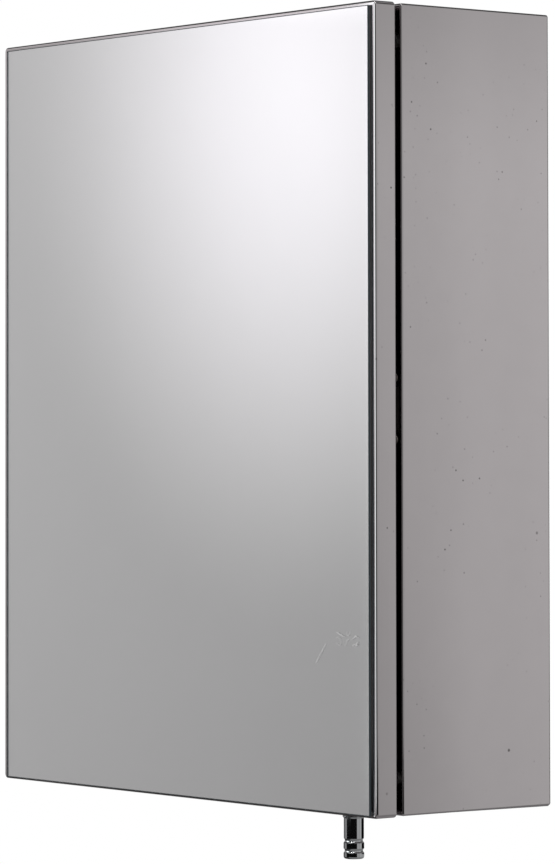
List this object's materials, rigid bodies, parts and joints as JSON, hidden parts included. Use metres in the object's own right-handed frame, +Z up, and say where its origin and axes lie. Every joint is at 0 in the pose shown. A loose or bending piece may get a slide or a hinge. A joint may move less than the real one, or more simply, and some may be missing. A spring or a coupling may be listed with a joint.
{
  "type": "medicine cabinet with mirror",
  "caption": "Wall-hung polished steel medicine cabinet with a mirrored door on concealed hinges, glass shelves, a magnetic catch and a turned pull pin under the door.",
  "frame": {"origin": "middle of the back panel's wall face", "axes": "+X to the right as seen by a user, -Y out of the wall through the mirror, +Z up"},
  "size_m": [0.343, 0.1248, 0.453],
  "materials": {
    "polished_steel": "polished stainless steel",
    "mill_steel": "satin stainless steel",
    "rail_steel": "satin stainless steel",
    "shelf_glass": "clear glass, ground edges",
    "chrome": "polished chrome",
    "clear_plastic": "clear sleeve",
    "plated_steel": "zinc plated steel",
    "screw_steel": "bright zinc plate",
    "white_plastic": "moulded white plastic",
    "magnet": "ferrite",
    "core_card": "honeycomb card",
    "mirror_glass": "clear float glass, ground edges",
    "silvering": "silver under backing paint",
    "tape": "foam mounting tape",
    "silicone": "clear silicone"
  },
  "bodies": {
    "cabinet": {"body_top": "polished_steel", "body_bottom": "polished_steel", "body_side_left": "polished_steel", "body_side_right": "polished_steel", "front_frame": "polished_steel", "rear_frame": "polished_steel", "back_panel": "mill_steel", "shelf_rail_left_front": "rail_steel", "shelf_rail_left_rear": "rail_steel", "shelf_rail_right_front": "rail_steel", "shelf_rail_right_rear": "rail_steel", "shelf_upper": "shelf_glass", "shelf_lower": "shelf_glass", "shelf_pins_upper": "chrome", "shelf_pins_lower": "chrome", "pin_sleeves_upper": "clear_plastic", "pin_sleeves_lower": "clear_plastic", "hinge_base_upper": "plated_steel", "hinge_base_lower": "plated_steel", "hinge_arm_upper": "plated_steel", "hinge_arm_lower": "plated_steel", "hinge_screws": "screw_steel", "catch_housing": "white_plastic", "catch_magnet": "magnet", "catch_plates": "plated_steel", "catch_screws": "screw_steel"},
    "door": {"door_tray": "polished_steel", "door_inner_panel": "mill_steel", "door_core": "core_card", "mirror_glass": "mirror_glass", "mirror_silvering": "silvering", "mirror_tape": "tape", "hinge_box_upper": "plated_steel", "hinge_box_lower": "plated_steel", "hinge_pin_upper": "plated_steel", "hinge_pin_lower": "plated_steel", "door_pull": "chrome", "pull_screw": "screw_steel", "strike_plate": "plated_steel", "strike_rivets": "screw_steel", "door_bumpers": "silicone"}
  },
  "joints": [
    {"name": "door_swing", "type": "hinge", "parent": "cabinet", "child": "door", "pos_m": [-0.16545, -0.11555, 0], "axis": [0, 0, -1], "range_deg": [0, 110]}
  ]
}
